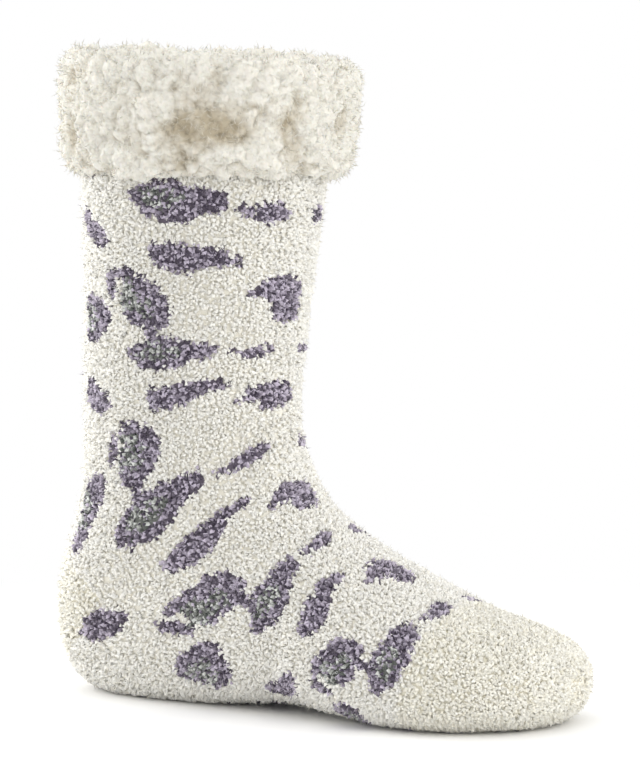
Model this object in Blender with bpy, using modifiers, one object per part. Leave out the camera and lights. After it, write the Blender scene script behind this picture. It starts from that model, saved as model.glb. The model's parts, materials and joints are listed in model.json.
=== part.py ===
"""A slipper sock: a chunky knitted tube with a turned-down cuff of curly fleece.

Metres, +Z up, toes towards +X. The origin is on the floor, halfway along the foot.
It stands empty in the shape of the right foot that it was worn on, with the leg over the heel.
The knit has no left or right of its own.
"""

import math
import random
from collections import namedtuple

import bmesh
import bpy
from mathutils import Vector

# Foot, measured outside the knit
FOOT_LENGTH = 0.252  # back of the heel to the tip of the toes
HEEL_REACH = 0.065  # leg's axis to the back of the heel
BALL_WIDTH = 0.099
TOE_HEIGHT = 0.042
INSTEP_HEIGHT = 0.091
SOLE_PRESS = 0.0016  # how far the floor presses the round of the sole flat

# Ankle and leg, measured outside the knit
ANKLE_HEIGHT = 0.139  # floor to where the leg proper begins, in front
ANKLE_DEPTH = 0.099  # front to back
ANKLE_WIDTH = 0.087
LEG_HEIGHT = 0.281  # floor to the knit's top edge, at the leg's axis
COLLAR_DEPTH = 0.114  # front to back, at the top edge
COLLAR_WIDTH = 0.107
LEG_LEAN = math.radians(3.5)  # forwards

# Walls
KNIT_WALL = 0.003
CLEARANCE = 0.0003  # between the knit and the fleece that is folded over it

# Turned-down cuff of fleece
CUFF_DROP = 0.046  # knit's top edge down to the cuff's lower edge
CUFF_PILE = 0.0085  # thickness of the outer layer, without its clumps
CUFF_ROLL = 0.0070  # fleece above the knit's top edge
LINING_PILE = 0.0045  # thickness of the layer inside the leg
LINING_DROP = 0.030  # knit's top edge down to where the inside layer ends here
CLUMP_HEIGHT = 0.0042  # how far a clump of fleece stands out of the layer
ROLL_LIFT = 0.6  # share of a clump's height that also goes up, on the roll
CLUMP_ROWS = 4
CLUMPS_AROUND = 26
CLUMP_SEED = 7

# Facets
RINGS = 34
KNIT_SIDES = 44
CUFF_SIDES = 2 * KNIT_SIDES  # every other one lies on a side of the knit
HALVINGS = 30

TOE_REACH = FOOT_LENGTH - HEEL_REACH
LEG_X = HEEL_REACH - FOOT_LENGTH / 2  # the leg's axis on the floor, from the origin
ANKLE_HALF = ANKLE_DEPTH / 2
LEG_CLIMB = LEG_HEIGHT - ANKLE_HEIGHT

KNIT_COLOUR = (0.86, 0.84, 0.78, 1.0)
FLEECE_COLOUR = (0.90, 0.86, 0.76, 1.0)
KNIT_ROUGHNESS = 0.95
FLEECE_ROUGHNESS = 0.92

# A section of the sock is a ring through a point under it (sole, heel or calf) and one over it (toes,
# instep or shin), both from the leg's axis on the floor. drift is how far it lies towards the big toe.
# belly is where it is widest, from over to under. square is 2 for an ellipse and more for a ring that
# fills its corners, on the half towards the sole.
Section = namedtuple("Section", "under_x under_z over_x over_z half_width drift belly square")

# Toes to instep. under_x and over_x are shares of TOE_REACH, under_z of TOE_HEIGHT, over_z of
# INSTEP_HEIGHT, and half_width and drift of half the BALL_WIDTH.
FOOT_ROWS = (
    Section(0.996, 0.33, 0.996, 0.28, 0.19, 0.200, 0.50, 2.0),
    Section(0.978, 0.19, 0.978, 0.35, 0.42, 0.185, 0.53, 2.1),
    Section(0.940, 0.09, 0.938, 0.41, 0.63, 0.160, 0.57, 2.3),
    Section(0.880, 0.03, 0.878, 0.455, 0.79, 0.125, 0.60, 2.5),
    Section(0.795, 0.00, 0.790, 0.510, 0.92, 0.080, 0.62, 2.7),
    Section(0.690, 0.00, 0.685, 0.590, 1.00, 0.035, 0.63, 2.8),
    Section(0.570, 0.02, 0.570, 0.700, 0.97, -0.010, 0.62, 2.8),
    Section(0.450, 0.09, 0.455, 0.835, 0.885, -0.045, 0.60, 2.7),
    Section(0.335, 0.12, 0.358, 0.975, 0.825, -0.050, 0.57, 2.6),
)

# Round the heel. under_x is a share of HEEL_REACH, over_x of half the ANKLE_DEPTH, both heights of
# ANKLE_HEIGHT, and half_width and drift of half the ANKLE_WIDTH.
HEEL_ROWS = (
    Section(0.60, 0.026, 1.190, 0.710, 0.930, -0.045, 0.55, 2.7),
    Section(0.27, 0.008, 1.095, 0.778, 0.915, -0.030, 0.53, 2.9),
    Section(-0.06, 0.000, 1.045, 0.830, 0.910, -0.015, 0.51, 3.0),
    Section(-0.42, 0.000, 1.018, 0.872, 0.915, 0.0, 0.50, 2.9),
    Section(-0.74, 0.030, 1.004, 0.908, 0.925, 0.0, 0.49, 2.6),
    Section(-0.93, 0.110, 0.998, 0.940, 0.940, 0.0, 0.48, 2.4),
    Section(-1.00, 0.230, 0.996, 0.970, 0.955, 0.0, 0.48, 2.2),
    Section(-0.975, 0.365, 0.996, 1.002, 0.965, 0.0, 0.48, 2.1),
    Section(-0.895, 0.500, 0.998, 1.038, 0.975, 0.0, 0.48, 2.0),
    Section(-0.810, 0.640, 1.000, 1.080, 0.985, 0.0, 0.49, 2.0),
)

# Up the leg. climb_back and climb_front are shares of the leg's climb above the ankle, and flare goes
# from the ankle's girth to the collar's. The last row is the top edge, square to the leaning axis.
LegRow = namedtuple("LegRow", "climb_back climb_front flare")
LEG_ROWS = (
    LegRow(-0.195, 0.145, 0.03),
    LegRow(0.000, 0.235, 0.09),
    LegRow(0.200, 0.345, 0.22),
    LegRow(0.405, 0.480, 0.42),
    LegRow(0.610, 0.635, 0.64),
    LegRow(0.810, 0.810, 0.84),
    LegRow(1.000, 1.000, 1.00),
)

# The outline of the folded fleece. depth is below the knit's top edge. layer says which face of the
# fold the point is on, share is how far through that layer's pile it lies, and clumps is how much of a
# clump's height it may stand out.
FoldPoint = namedtuple("FoldPoint", "layer depth share clumps")


def fold_outline():
    """The closed outline of the cuff, from inside the leg, over the top and down outside."""
    roll = -CUFF_ROLL
    return (
        FoldPoint("inside", LINING_DROP, 0.10, 0.0),
        FoldPoint("inside", LINING_DROP, 0.75, 0.0),
        FoldPoint("inside", LINING_DROP * 0.80, 1.00, 0.3),
        FoldPoint("inside", LINING_DROP * 0.45, 1.00, 0.3),
        FoldPoint("inside", LINING_DROP * 0.12, 1.00, 0.3),
        FoldPoint("inside", roll * 0.55, 0.88, 0.4),
        FoldPoint("inside", roll * 0.93, 0.35, 0.5),
        FoldPoint("outside", roll * 1.00, 0.12, 0.6),
        FoldPoint("outside", roll * 0.88, 0.60, 0.7),
        FoldPoint("outside", roll * 0.30, 0.93, 0.9),
        FoldPoint("outside", CUFF_DROP * 0.08, 1.06, 1.0),
        FoldPoint("outside", CUFF_DROP * 0.21, 1.12, 1.0),
        FoldPoint("outside", CUFF_DROP * 0.33, 1.14, 1.0),
        FoldPoint("outside", CUFF_DROP * 0.45, 1.14, 1.0),
        FoldPoint("outside", CUFF_DROP * 0.57, 1.12, 1.0),
        FoldPoint("outside", CUFF_DROP * 0.69, 1.08, 1.0),
        FoldPoint("outside", CUFF_DROP * 0.81, 1.00, 1.0),
        FoldPoint("outside", CUFF_DROP * 0.92, 0.82, 0.9),
        FoldPoint("outside", CUFF_DROP * 0.99, 0.52, 0.6),
        FoldPoint("outside", CUFF_DROP, 0.18, 0.3),
        FoldPoint("outside", CUFF_DROP * 0.95, 0.00, 0.0),
        FoldPoint("outside", CUFF_DROP * 0.64, 0.00, 0.0),
        FoldPoint("outside", CUFF_DROP * 0.32, 0.00, 0.0),
        FoldPoint("outside", -CLEARANCE, 0.00, 0.0),
        FoldPoint("inside", -CLEARANCE, 0.00, 0.0),
        FoldPoint("inside", LINING_DROP * 0.50, 0.00, 0.0),
        FoldPoint("inside", LINING_DROP * 0.95, 0.00, 0.0),
    )


def start_clean():
    """Removes what the scene holds."""
    for thing in list(bpy.data.objects):
        bpy.data.objects.remove(thing)


def mix(a, b, share):
    return a + (b - a) * share


def foot_sections():
    return [
        Section(
            row.under_x * TOE_REACH,
            row.under_z * TOE_HEIGHT,
            row.over_x * TOE_REACH,
            row.over_z * INSTEP_HEIGHT,
            row.half_width * BALL_WIDTH / 2,
            row.drift * BALL_WIDTH / 2,
            row.belly,
            row.square,
        )
        for row in FOOT_ROWS
    ]


def heel_sections():
    return [
        Section(
            row.under_x * HEEL_REACH,
            row.under_z * ANKLE_HEIGHT,
            row.over_x * ANKLE_HALF,
            row.over_z * ANKLE_HEIGHT,
            row.half_width * ANKLE_WIDTH / 2,
            row.drift * ANKLE_WIDTH / 2,
            row.belly,
            row.square,
        )
        for row in HEEL_ROWS
    ]


def leg_sections():
    """The leg leans forwards, so its top edge is lower in front than behind."""
    tilt = math.tan(LEG_LEAN)
    made = []
    for row in LEG_ROWS:
        half_depth = mix(ANKLE_HALF, COLLAR_DEPTH / 2, row.flare)
        ends = []
        for side, climb in ((-1, row.climb_back), (1, row.climb_front)):
            height = ANKLE_HEIGHT + climb * LEG_CLIMB
            reach = side * half_depth
            lean = max(0.0, climb) * LEG_CLIMB * tilt
            ends += [reach + lean, height - reach * tilt * max(0.0, climb)]
        half_width = mix(ANKLE_WIDTH, COLLAR_WIDTH, row.flare) / 2
        made.append(Section(*ends, half_width, 0.0, 0.5, 2.0))
    return made


SECTIONS = foot_sections() + heel_sections() + leg_sections()


def section_at(place):
    """The section at a place from 0, at the toes, to 1, at the top edge: a curve through all rows."""
    last = len(SECTIONS) - 1
    at = min(max(place, 0.0), 1.0) * last
    near = min(int(at), last - 1)
    t = at - near
    rows = [SECTIONS[min(max(near + step, 0), last)] for step in (-1, 0, 1, 2)]
    values = []
    for before, start, end, after in zip(*rows):
        lead_in = (end - before) / 2
        lead_out = (after - start) / 2
        rise = end - start
        bend = (3 - 2 * t) * t * t * rise
        values.append(start + bend + t * (1 - t) ** 2 * lead_in - t * t * (1 - t) * lead_out)
    return Section(*values)


def ring_point(section, angle, outset=0.0):
    """A point of a section's ring, outset from the knit's outside. angle 0 is over, pi is under."""
    under = Vector((LEG_X + section.under_x, 0.0, section.under_z - SOLE_PRESS))
    over = Vector((LEG_X + section.over_x, 0.0, section.over_z))
    spine = over - under
    middle = over - spine * section.belly
    up = spine.normalized()
    above = math.cos(angle) > 0
    reach = spine.length * (section.belly if above else 1 - section.belly) + outset
    power = 2 / (2.0 if above else section.square)
    rise = math.copysign(abs(math.cos(angle)) ** power, math.cos(angle)) * reach
    width = math.copysign(abs(math.sin(angle)) ** power, math.sin(angle))
    point = middle + up * rise
    point.y = section.drift + width * (section.half_width + outset)
    return point


def loft(mesh, rings, wrap):
    """Faces between rings of vertices, each closed on itself. wrap joins the last to the first."""
    sides = len(rings[0])
    pairs = list(zip(rings, rings[1:] + rings[:1])) if wrap else list(zip(rings, rings[1:]))
    for lower, upper in pairs:
        for k in range(sides):
            after = (k + 1) % sides
            mesh.faces.new((lower[k], lower[after], upper[after], upper[k]))


def new_object(name, mesh, collection, material):
    data = bpy.data.meshes.new(name)
    bmesh.ops.recalc_face_normals(mesh, faces=mesh.faces)
    mesh.to_mesh(data)
    mesh.free()
    data.shade_smooth()
    data.materials.append(material)
    made = bpy.data.objects.new(name, data)
    collection.objects.link(made)
    return made


def plain_material(name, colour, roughness):
    material = bpy.data.materials.new(name)
    material.use_nodes = True
    surface = material.node_tree.nodes["Principled BSDF"]
    surface.inputs["Base Color"].default_value = colour
    surface.inputs["Roughness"].default_value = roughness
    surface.inputs["Metallic"].default_value = 0.0
    return material


def knit_body(collection):
    """Leg, heel, foot and toes, knitted in one piece: a skin closed at the toes, with a wall inwards."""
    material = plain_material("chunky_knit", KNIT_COLOUR, KNIT_ROUGHNESS)
    mesh = bmesh.new()
    rings = []
    for step in range(RINGS):
        section = section_at(step / (RINGS - 1))
        ring = []
        for k in range(KNIT_SIDES):
            point = ring_point(section, 2 * math.pi * k / KNIT_SIDES)
            point.z = max(point.z, 0.0)
            ring.append(mesh.verts.new(point))
        rings.append(ring)
    first = section_at(0.0)
    tip = mesh.verts.new((LEG_X + TOE_REACH, first.drift, (first.under_z + first.over_z) / 2))
    for k in range(KNIT_SIDES):
        mesh.faces.new((tip, rings[0][(k + 1) % KNIT_SIDES], rings[0][k]))
    loft(mesh, rings, wrap=False)
    body = new_object("knit_body", mesh, collection, material)
    outward = sum(face.center.y * face.normal.y for face in body.data.polygons)
    wall = body.modifiers.new("wall", "SOLIDIFY")
    wall.thickness = KNIT_WALL
    wall.offset = math.copysign(1.0, -outward)
    wall.use_even_offset = False
    return body


def section_below(depth):
    """The section at a depth below the top edge, halved down to."""
    edge = section_at(1.0)
    top = (edge.under_z + edge.over_z) / 2
    low, high = 0.5, 1.0
    for _ in range(HALVINGS):
        middle = (low + high) / 2
        section = section_at(middle)
        below = top - (section.under_z + section.over_z) / 2
        low, high = (middle, high) if below > depth else (low, middle)
    return section_at(high)


def clump_centres():
    """Where the clumps of fleece sit on the cuff: (angle, depth, size), in staggered, uneven rows."""
    chance = random.Random(CLUMP_SEED)
    centres = []
    for row in range(CLUMP_ROWS):
        depth = mix(-CUFF_ROLL, CUFF_DROP, (row + 0.5) / CLUMP_ROWS)
        for k in range(CLUMPS_AROUND):
            stagger = 0.5 * (row % 2) + chance.uniform(-0.3, 0.3)
            angle = 2 * math.pi * (k + stagger) / CLUMPS_AROUND
            uneven = chance.uniform(-0.3, 0.3) * (CUFF_DROP + CUFF_ROLL) / CLUMP_ROWS
            centres.append((angle, depth + uneven, chance.uniform(0.75, 1.25)))
    return centres


def clump_relief(centres, angle, depth):
    """From 0 between clumps to about 1 on top of one."""
    pitch = (CUFF_DROP + CUFF_ROLL) / CLUMP_ROWS
    girth = math.pi * (COLLAR_DEPTH + COLLAR_WIDTH) / 2
    relief = 0.0
    for centre, level, size in centres:
        turn = (angle - centre + math.pi) % (2 * math.pi) - math.pi
        across = turn * girth / (2 * math.pi) / (pitch * 0.62)
        down = (depth - level) / (pitch * 0.72)
        relief = max(relief, size * (1 - across * across - down * down))
    return relief


def sherpa_cuff(collection):
    """The fleece lining, folded over the knit's top edge and turned down outside, with its clumps."""
    material = plain_material("curly_fleece", FLEECE_COLOUR, FLEECE_ROUGHNESS)
    centres = clump_centres()
    inner_start = -KNIT_WALL - CLEARANCE
    axis = Vector((math.sin(LEG_LEAN), 0.0, math.cos(LEG_LEAN)))
    mesh = bmesh.new()
    rings = []
    for fold in fold_outline():
        section = section_below(max(fold.depth, 0.0))
        rise = max(-fold.depth, 0.0)
        ring = []
        for k in range(CUFF_SIDES):
            angle = 2 * math.pi * k / CUFF_SIDES
            relief = fold.clumps * CLUMP_HEIGHT * clump_relief(centres, angle, fold.depth)
            if fold.layer == "outside":
                outset = CLEARANCE + fold.share * CUFF_PILE + relief
            else:
                outset = inner_start - fold.share * LINING_PILE - relief
            lift = rise + (relief * ROLL_LIFT if rise else 0.0)
            ring.append(mesh.verts.new(ring_point(section, angle, outset) + axis * lift))
        rings.append(ring)
    loft(mesh, rings, wrap=True)
    return new_object("sherpa_cuff", mesh, collection, material)


def main():
    start_clean()
    collection = bpy.data.collections.new("slipper_sock")
    bpy.context.scene.collection.children.link(collection)
    knit_body(collection)
    sherpa_cuff(collection)


main()
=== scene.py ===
import json
import math
from collections import namedtuple

import bpy
import numpy as np
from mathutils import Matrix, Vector, noise

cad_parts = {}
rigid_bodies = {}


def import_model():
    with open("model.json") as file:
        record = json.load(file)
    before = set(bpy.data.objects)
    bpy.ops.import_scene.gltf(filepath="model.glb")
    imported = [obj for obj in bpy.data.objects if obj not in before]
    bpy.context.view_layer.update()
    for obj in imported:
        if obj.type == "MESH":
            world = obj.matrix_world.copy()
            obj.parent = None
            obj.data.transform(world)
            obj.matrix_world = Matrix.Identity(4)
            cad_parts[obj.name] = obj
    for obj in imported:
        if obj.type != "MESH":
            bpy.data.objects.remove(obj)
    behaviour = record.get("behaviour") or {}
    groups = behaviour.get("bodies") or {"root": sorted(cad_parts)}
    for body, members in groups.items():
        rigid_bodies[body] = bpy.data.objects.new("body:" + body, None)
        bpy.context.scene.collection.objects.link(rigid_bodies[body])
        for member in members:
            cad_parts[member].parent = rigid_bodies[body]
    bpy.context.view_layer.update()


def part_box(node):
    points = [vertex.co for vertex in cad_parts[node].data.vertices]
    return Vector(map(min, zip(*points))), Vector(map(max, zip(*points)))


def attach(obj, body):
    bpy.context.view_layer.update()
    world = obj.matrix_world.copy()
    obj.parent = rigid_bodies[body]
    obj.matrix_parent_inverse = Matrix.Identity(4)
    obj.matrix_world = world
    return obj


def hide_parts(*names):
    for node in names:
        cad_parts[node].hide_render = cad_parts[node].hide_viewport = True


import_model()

# Knitted body. Leg, heel, foot and toes are one tube, knitted round in a fuzzy feather yarn that is
# carried in two colours, with animal spots. Heel pocket and toes are of plain ivory yarn.
# Every piece here lies on the same skin, worked out from the sections of the solid that it replaces.

KNIT_LOW, KNIT_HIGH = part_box("knit_body")
FOOT_LENGTH = KNIT_HIGH.x - KNIT_LOW.x
HEEL_REACH = 0.065  # the leg's axis to the back of the heel
TOE_REACH = FOOT_LENGTH - HEEL_REACH
LEG_X = KNIT_LOW.x + HEEL_REACH
BALL_WIDTH = 0.099
TOE_HEIGHT = 0.042
INSTEP_HEIGHT = 0.091
SOLE_PRESS = 0.0016
ANKLE_HEIGHT = 0.139
ANKLE_DEPTH = 0.099
ANKLE_WIDTH = 0.087
LEG_HEIGHT = 0.281
LEG_CLIMB = LEG_HEIGHT - ANKLE_HEIGHT
COLLAR_DEPTH = 0.114
COLLAR_WIDTH = KNIT_HIGH.y - KNIT_LOW.y
LEG_LEAN = math.radians(3.5)

# A section is a ring through a point under it (sole, heel or calf) and one over it (toes, instep or
# shin). drift is towards the big toe, belly is where it is widest, and square above 2 fills the
# corners of the half towards the sole.
Section = namedtuple("Section", "under_x under_z over_x over_z half_width drift belly square")

# Toes to instep, in shares of TOE_REACH, TOE_HEIGHT, INSTEP_HEIGHT and half the BALL_WIDTH
FOOT_ROWS = (
    Section(0.996, 0.33, 0.996, 0.28, 0.19, 0.200, 0.50, 2.0),
    Section(0.978, 0.19, 0.978, 0.35, 0.42, 0.185, 0.53, 2.1),
    Section(0.940, 0.09, 0.938, 0.41, 0.63, 0.160, 0.57, 2.3),
    Section(0.880, 0.03, 0.878, 0.455, 0.79, 0.125, 0.60, 2.5),
    Section(0.795, 0.00, 0.790, 0.510, 0.92, 0.080, 0.62, 2.7),
    Section(0.690, 0.00, 0.685, 0.590, 1.00, 0.035, 0.63, 2.8),
    Section(0.570, 0.02, 0.570, 0.700, 0.97, -0.010, 0.62, 2.8),
    Section(0.450, 0.09, 0.455, 0.835, 0.885, -0.045, 0.60, 2.7),
    Section(0.335, 0.12, 0.358, 0.975, 0.825, -0.050, 0.57, 2.6),
)

# Round the heel, in shares of HEEL_REACH, ANKLE_HEIGHT, half the ANKLE_DEPTH and half the ANKLE_WIDTH
HEEL_ROWS = (
    Section(0.60, 0.026, 1.190, 0.710, 0.930, -0.045, 0.55, 2.7),
    Section(0.27, 0.008, 1.095, 0.778, 0.915, -0.030, 0.53, 2.9),
    Section(-0.06, 0.000, 1.045, 0.830, 0.910, -0.015, 0.51, 3.0),
    Section(-0.42, 0.000, 1.018, 0.872, 0.915, 0.0, 0.50, 2.9),
    Section(-0.74, 0.030, 1.004, 0.908, 0.925, 0.0, 0.49, 2.6),
    Section(-0.93, 0.110, 0.998, 0.940, 0.940, 0.0, 0.48, 2.4),
    Section(-1.00, 0.230, 0.996, 0.970, 0.955, 0.0, 0.48, 2.2),
    Section(-0.975, 0.365, 0.996, 1.002, 0.965, 0.0, 0.48, 2.1),
    Section(-0.895, 0.500, 0.998, 1.038, 0.975, 0.0, 0.48, 2.0),
    Section(-0.810, 0.640, 1.000, 1.080, 0.985, 0.0, 0.49, 2.0),
)

# Up the leg, in shares of its climb, behind and in front, and of its flare from ankle to collar
LegRow = namedtuple("LegRow", "climb_back climb_front flare")
LEG_ROWS = (
    LegRow(-0.195, 0.145, 0.03),
    LegRow(0.000, 0.235, 0.09),
    LegRow(0.200, 0.345, 0.22),
    LegRow(0.405, 0.480, 0.42),
    LegRow(0.610, 0.635, 0.64),
    LegRow(0.810, 0.810, 0.84),
    LegRow(1.000, 1.000, 1.00),
)


def mix(a, b, share):
    """From a, at share 0, to b, at share 1."""
    return a + (b - a) * share


def all_sections():
    """Every row in metres, toes first, as an array with the columns of Section."""
    half_ball = BALL_WIDTH / 2
    half_ankle = ANKLE_WIDTH / 2
    foot = (TOE_REACH, TOE_HEIGHT, TOE_REACH, INSTEP_HEIGHT, half_ball, half_ball, 1, 1)
    heel = (HEEL_REACH, ANKLE_HEIGHT, ANKLE_DEPTH / 2, ANKLE_HEIGHT, half_ankle, half_ankle, 1, 1)
    made = [np.multiply(row, foot) for row in FOOT_ROWS]
    made += [np.multiply(row, heel) for row in HEEL_ROWS]
    for row in LEG_ROWS:
        half_depth = mix(ANKLE_DEPTH, COLLAR_DEPTH, row.flare) / 2
        ends = []
        for reach, climb in ((-half_depth, row.climb_back), (half_depth, row.climb_front)):
            tilt = max(0.0, climb) * math.tan(LEG_LEAN)
            ends += [reach + tilt * LEG_CLIMB, ANKLE_HEIGHT + climb * LEG_CLIMB - reach * tilt]
        half_width = mix(ANKLE_WIDTH, COLLAR_WIDTH, row.flare) / 2
        made.append(np.array((*ends, half_width, 0.0, 0.5, 2.0)))
    return np.array(made)


SECTIONS = all_sections()


def sections_at(places):
    """Sections at places from 0, at the toes, to 1, at the top edge: a curve through all rows."""
    last = len(SECTIONS) - 1
    at = np.clip(places, 0.0, 1.0) * last
    near = np.minimum(at.astype(int), last - 1)
    t = (at - near)[:, None]
    before, start, end, after = (SECTIONS[np.clip(near + k, 0, last)] for k in (-1, 0, 1, 2))
    bend = (3 - 2 * t) * t * t * (end - start)
    lead = t * (1 - t) ** 2 * (end - before) / 2 - t * t * (1 - t) * (after - start) / 2
    return start + bend + lead


def ring_points(sections, angles, outset=0.0):
    """Points of each section's ring. Angle 0 is over and pi is under; outset is from the skin."""
    under_x, under_z, over_x, over_z, half_width, drift, belly, square = sections.T[:, :, None]
    under = np.stack((LEG_X + under_x, under_z - SOLE_PRESS), axis=-1)
    over = np.stack((LEG_X + over_x, over_z), axis=-1)
    spine = over - under
    length = np.linalg.norm(spine, axis=-1)
    cosine, sine = np.cos(angles), np.sin(angles)
    above = cosine > 0
    reach = length * np.where(above, belly, 1 - belly) + outset
    power = np.where(above, 1.0, 2 / square)
    rise = np.sign(cosine) * np.abs(cosine) ** power * reach
    across = np.sign(sine) * np.abs(sine) ** power * (half_width + outset)
    middle = over - spine * belly[..., None]
    flat = middle + spine / length[..., None] * rise[..., None]
    return np.stack((flat[..., 0], drift + across, flat[..., 1]), axis=-1)


WALE = 0.0029  # width of a column of stitches on the leg
COURSE = 0.0023  # height of a stitch
WALES = 108
ROUND_STEPS = 4 * WALES  # the skin's grid, round the sock
LONG_STEPS = 720  # and along it
EVEN_STEPS = 721

PLACES = np.linspace(0.0, 1.0, LONG_STEPS)
ROUND_SHARES = np.arange(ROUND_STEPS) / ROUND_STEPS  # 0 in front, a half behind or under


def even_angles(sections):
    """For each ring, the angles that part it into even lengths, from its front round by its left."""
    fine = np.linspace(0.0, 2 * math.pi, EVEN_STEPS)
    points = ring_points(sections, np.broadcast_to(fine, (len(sections), EVEN_STEPS)))
    steps = np.linalg.norm(np.diff(points, axis=1), axis=-1)
    along = np.concatenate((np.zeros((len(sections), 1)), np.cumsum(steps, axis=1)), axis=1)
    return np.array([np.interp(ROUND_SHARES * row[-1], row, fine) for row in along])


def lengths_along(grid):
    """Length along each column of a grid of points, from its first row."""
    steps = np.linalg.norm(np.diff(grid, axis=0), axis=-1)
    return np.concatenate((np.zeros((1, grid.shape[1])), np.cumsum(steps, axis=0)), axis=0)


def grid_normals(grid):
    """Outward normals of a grid that closes on itself round the sock."""
    along = np.gradient(grid, axis=0)
    around = np.roll(grid, -1, axis=1) - np.roll(grid, 1, axis=1)
    normals = np.cross(around, along)
    return normals / np.maximum(np.linalg.norm(normals, axis=-1, keepdims=True), 1e-12)


RING_SECTIONS = sections_at(PLACES)
RING_ANGLES = even_angles(RING_SECTIONS)
SKIN = ring_points(RING_SECTIONS, RING_ANGLES)
SKIN[..., 2] = np.maximum(SKIN[..., 2], 0.0)
FROM_TOE = lengths_along(SKIN)
FROM_COLLAR = FROM_TOE[-1] - FROM_TOE
FRONT, SIDE = 0, 3 * WALES
FROM_TOP = (FROM_COLLAR[:, FRONT] + FROM_COLLAR[:, SIDE]) / 2

# Main creases, in metres of skin. round_at and half_round are shares of the way round from the
# front, down is from the top edge, tilt is how much lower it ends per share, and a negative depth
# is a ridge.
Crease = namedtuple("Crease", "round_at half_round down tilt depth width")
CREASES = (
    Crease(0.00, 0.17, 0.186, 0.030, 0.0016, 0.0045),
    Crease(0.98, 0.13, 0.198, -0.020, 0.0013, 0.0040),
    Crease(0.03, 0.15, 0.192, 0.005, -0.0009, 0.0035),
    Crease(0.84, 0.07, 0.176, 0.120, 0.0009, 0.0045),
    Crease(0.70, 0.06, 0.245, 0.100, 0.0010, 0.0040),
    Crease(0.66, 0.05, 0.285, 0.060, 0.0009, 0.0040),
    Crease(0.83, 0.10, 0.352, -0.030, 0.0010, 0.0022),
)
LUMP_HEIGHT = 0.0006
LUMP_SIZE = 0.022
LUMP_STEP = 4  # noise is worked out on every fourth point of the grid


def crease_relief():
    """How far the creases push the skin's grid in or out."""
    relief = np.zeros(SKIN.shape[:2])
    for crease in CREASES:
        turn = (ROUND_SHARES - crease.round_at + 0.5) % 1.0 - 0.5
        line = crease.down + crease.tilt * turn
        fade = np.clip(1 - (turn / crease.half_round) ** 2, 0.0, 1.0)
        off = (FROM_TOP[:, None] - line) / crease.width
        relief -= crease.depth * fade * np.exp(-off * off)
    return relief


def lumps(points, size):
    """Soft noise from -1 to 1 at each point."""
    flat = points.reshape(-1, 3) / size
    return np.array([noise.noise(Vector(p)) for p in flat]).reshape(points.shape[:-1])


def soft_lumps():
    """Soft noise on a coarse share of the grid's points, spread over the rest."""
    coarse = lumps(SKIN[::LUMP_STEP, ::LUMP_STEP], LUMP_SIZE)
    rows = np.arange(0, LONG_STEPS, LUMP_STEP)
    wide = np.concatenate((coarse, coarse[:, :1]), axis=1)
    columns = np.arange(0, ROUND_STEPS + 1, LUMP_STEP)
    every = np.arange(ROUND_STEPS)
    spread = np.array([np.interp(every, columns, row) for row in wide])
    lines = np.arange(LONG_STEPS)
    return np.stack([np.interp(lines, rows, column) for column in spread.T], axis=1)


FLOOR_LIFT = 0.0006  # thread under the sole, pressed flat on the floor
SKIN += grid_normals(SKIN) * (crease_relief() + LUMP_HEIGHT * soft_lumps())[..., None]
SKIN[..., 2] = np.maximum(SKIN[..., 2], FLOOR_LIFT)
SKIN_NORMALS = grid_normals(SKIN)

# Courses lie level down the leg, fan out round the ankle and stand across the foot. The fan opens
# from a point over the instep.
FAN_X, FAN_Z = 0.050, 0.165
FAN_END = math.radians(79)
FAN_PACE = 0.130  # metres knitted to a radian
FOOT_DRAW = 1.14  # the foot's courses lie closer than the leg's
LEG_UP = np.array((math.sin(LEG_LEAN), math.cos(LEG_LEAN)))
LEG_BACK = np.array((-LEG_UP[1], LEG_UP[0]))
FOOT_AHEAD = -math.sin(FAN_END) * LEG_BACK - math.cos(FAN_END) * LEG_UP


def knitted_at(points):
    """How many metres were knitted from the top edge down to each point."""
    off = points[..., [0, 2]] - np.array((FAN_X, FAN_Z))
    rim = SKIN[-1].mean(axis=0)[[0, 2]] - np.array((FAN_X, FAN_Z))
    above = off @ LEG_UP
    angle = np.arctan2(-above, off @ LEG_BACK)
    fan = np.clip(angle, 0.0, FAN_END) * FAN_PACE
    foot = np.where(angle > FAN_END, off @ FOOT_AHEAD, 0.0) * FOOT_DRAW
    return rim @ LEG_UP - np.maximum(above, 0.0) + fan + foot
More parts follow.
